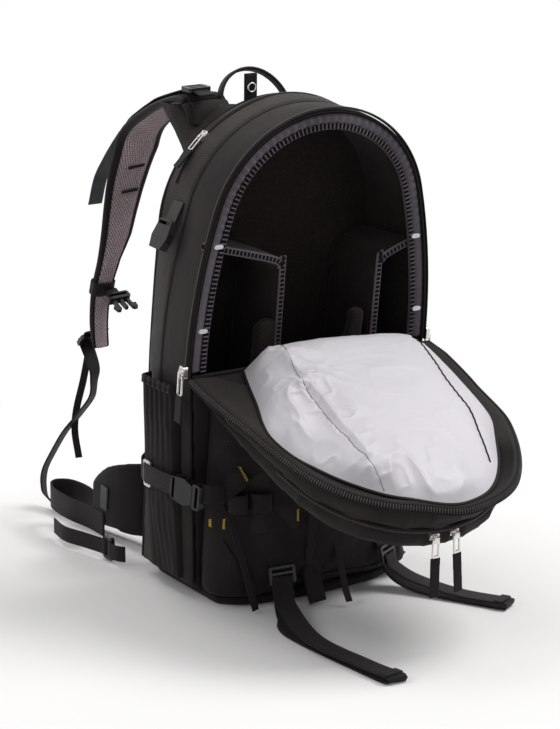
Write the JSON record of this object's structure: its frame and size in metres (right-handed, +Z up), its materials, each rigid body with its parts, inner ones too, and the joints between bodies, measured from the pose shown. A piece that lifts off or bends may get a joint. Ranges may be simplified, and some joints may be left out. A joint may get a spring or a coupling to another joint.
{
  "type": "camera backpack",
  "caption": "Open camera backpack with a padded, divided compartment, front-hinged zip lid, side pockets, padded harness, waist wings and side-release buckles.",
  "frame": {"origin": "middle of the flat base under the main compartment", "axes": "+Z up, -Y towards the opening front, +Y towards the harness, X across the bag"},
  "size_m": [0.3538, 0.7398, 0.6073],
  "materials": {
    "buckle_plastic": "moulded acetal",
    "foam_board": "covered foam board",
    "grey_webbing": "grey webbing",
    "insert_cloth": "brushed lining with blue-grey edges",
    "mesh": "spacer mesh",
    "pack_nylon": "close-woven ripstop nylon",
    "satin": "silver-grey satin lining",
    "slider_metal": "satin nickel",
    "stud_plastic": "white plastic",
    "weave_nylon": "diagonal-weave nylon",
    "webbing": "ribbed webbing",
    "zip_chain": "coil zip"
  },
  "bodies": {
    "pack": {"back_pads": "mesh", "back_panel": "foam_board", "base_panel": "foam_board", "body_zip": "zip_chain", "buckle_prongs": "buckle_plastic", "buckle_sockets": "buckle_plastic", "compression_straps": "webbing", "divider_left": "insert_cloth", "divider_right": "insert_cloth", "divider_studs": "stud_plastic", "front_pocket": "pack_nylon", "front_straps": "webbing", "front_wall": "pack_nylon", "gusset_front": "pack_nylon", "gusset_rear": "weave_nylon", "handle_tab": "webbing", "harness_yoke": "pack_nylon", "insert_edging": "insert_cloth", "ladder_locks": "buckle_plastic", "lens_cradle": "insert_cloth", "load_lifter_straps": "grey_webbing", "lumbar_pad": "mesh", "main_sliders": "slider_metal", "padded_insert": "insert_cloth", "pocket_flap": "pack_nylon", "pocket_webbing": "webbing", "shoulder_pad_left": "mesh", "shoulder_pad_right": "mesh", "shoulder_webbing": "webbing", "side_pocket_left": "pack_nylon", "side_pocket_right": "pack_nylon", "strap_triglides": "slider_metal", "top_slider": "slider_metal", "top_zip": "zip_chain"},
    "lid": {"lid_shell": "pack_nylon", "lid_lining": "satin", "lid_zip": "zip_chain", "lid_pocket": "pack_nylon", "lid_pocket_zip": "zip_chain"},
    "main_pull_left": {"main_pull_left": "slider_metal", "main_tab_left": "pack_nylon"},
    "main_pull_right": {"main_pull_right": "slider_metal", "main_tab_right": "pack_nylon"},
    "top_pull": {"top_pull": "slider_metal", "top_tab": "pack_nylon"},
    "haul_handle": {"haul_handle": "webbing"},
    "lid_slider_left": {"lid_slider_left": "slider_metal"},
    "lid_pull_left": {"lid_pull_left": "slider_metal", "lid_tab_left": "pack_nylon"},
    "upper_buckle_left": {"upper_buckle_left": "buckle_plastic"},
    "waist_wing_left": {"waist_wing_left": "pack_nylon", "waist_strap_left": "webbing"},
    "sternum_strap_left": {"sternum_strap_left": "buckle_plastic"},
    "lid_slider_right": {"lid_slider_right": "slider_metal"},
    "lid_pull_right": {"lid_pull_right": "slider_metal", "lid_tab_right": "pack_nylon"},
    "upper_buckle_right": {"upper_buckle_right": "buckle_plastic"},
    "waist_wing_right": {"waist_wing_right": "pack_nylon", "waist_strap_right": "webbing"},
    "sternum_strap_right": {"sternum_strap_right": "buckle_plastic"}
  },
  "joints": [
    {"name": "lid_hinge", "type": "hinge", "parent": "pack", "child": "lid", "pos_m": [0, -0.07759, 0.284], "axis": [-1, 0, 0], "range_deg": [0, 103], "deforming": ["lid_lining"]},
    {"name": "main_pull_left_swing", "type": "hinge", "parent": "pack", "child": "main_pull_left", "pos_m": [-0.1697, -0.0739, 0.288], "axis": [0, 0.9917, 0.1288], "range_deg": [0, 150]},
    {"name": "main_pull_right_swing", "type": "hinge", "parent": "pack", "child": "main_pull_right", "pos_m": [0.1697, -0.0739, 0.288], "axis": [0, -0.9917, -0.1288], "range_deg": [0, 150]},
    {"name": "top_pull_swing", "type": "hinge", "parent": "pack", "child": "top_pull", "pos_m": [-0.10357, -0.01256, 0.54325], "axis": [0, 1, 0], "range_deg": [0, 140]},
    {"name": "haul_handle_fold", "type": "hinge", "parent": "pack", "child": "haul_handle", "pos_m": [-0.004, 0.02122, 0.55], "axis": [-1, 0, 0], "range_deg": [-15, 50]},
    {"name": "lid_slider_left_travel", "type": "hinge", "parent": "lid", "child": "lid_slider_left", "pos_m": [0, -0.21119, 0.20937], "axis": [0, -0.4496, 0.8933], "range_deg": [-50, 0]},
    {"name": "lid_pull_left_swing", "type": "hinge", "parent": "lid_slider_left", "child": "lid_pull_left", "pos_m": [-0.00797, -0.34696, 0.14104], "axis": [-0.9986, 0.0467, 0.0235], "range_deg": [-10, 110]},
    {"name": "lid_slider_right_travel", "type": "hinge", "parent": "lid", "child": "lid_slider_right", "pos_m": [0, -0.21119, 0.20937], "axis": [0, -0.4496, 0.8933], "range_deg": [0, 46]},
    {"name": "lid_pull_right_swing", "type": "hinge", "parent": "lid_slider_right", "child": "lid_pull_right", "pos_m": [0.01987, -0.34598, 0.14153], "axis": [-0.9914, -0.1166, -0.0587], "range_deg": [-10, 110]},
    {"name": "upper_buckle_left_swing", "type": "hinge", "parent": "pack", "child": "upper_buckle_left", "pos_m": [-0.13777, -0.01904, 0.47], "axis": [0, 1, 0], "range_deg": [-8, 100]},
    {"name": "upper_buckle_right_swing", "type": "hinge", "parent": "pack", "child": "upper_buckle_right", "pos_m": [0.13777, -0.01904, 0.47], "axis": [0, -1, 0], "range_deg": [-8, 100]},
    {"name": "waist_wing_left_fold", "type": "hinge", "parent": "pack", "child": "waist_wing_left", "pos_m": [-0.1124, 0.088, 0.08], "axis": [0, 0, 1], "range_deg": [-8, 30]},
    {"name": "waist_wing_right_fold", "type": "hinge", "parent": "pack", "child": "waist_wing_right", "pos_m": [0.1124, 0.088, 0.08], "axis": [0, 0, -1], "range_deg": [-8, 30]},
    {"name": "sternum_strap_left_swing", "type": "hinge", "parent": "pack", "child": "sternum_strap_left", "pos_m": [-0.08, 0.25303, 0.30345], "axis": [1, 0, 0], "range_deg": [-30, 40]},
    {"name": "sternum_strap_right_swing", "type": "hinge", "parent": "pack", "child": "sternum_strap_right", "pos_m": [0.08, 0.22673, 0.30322], "axis": [1, 0, 0], "range_deg": [-30, 40]}
  ]
}
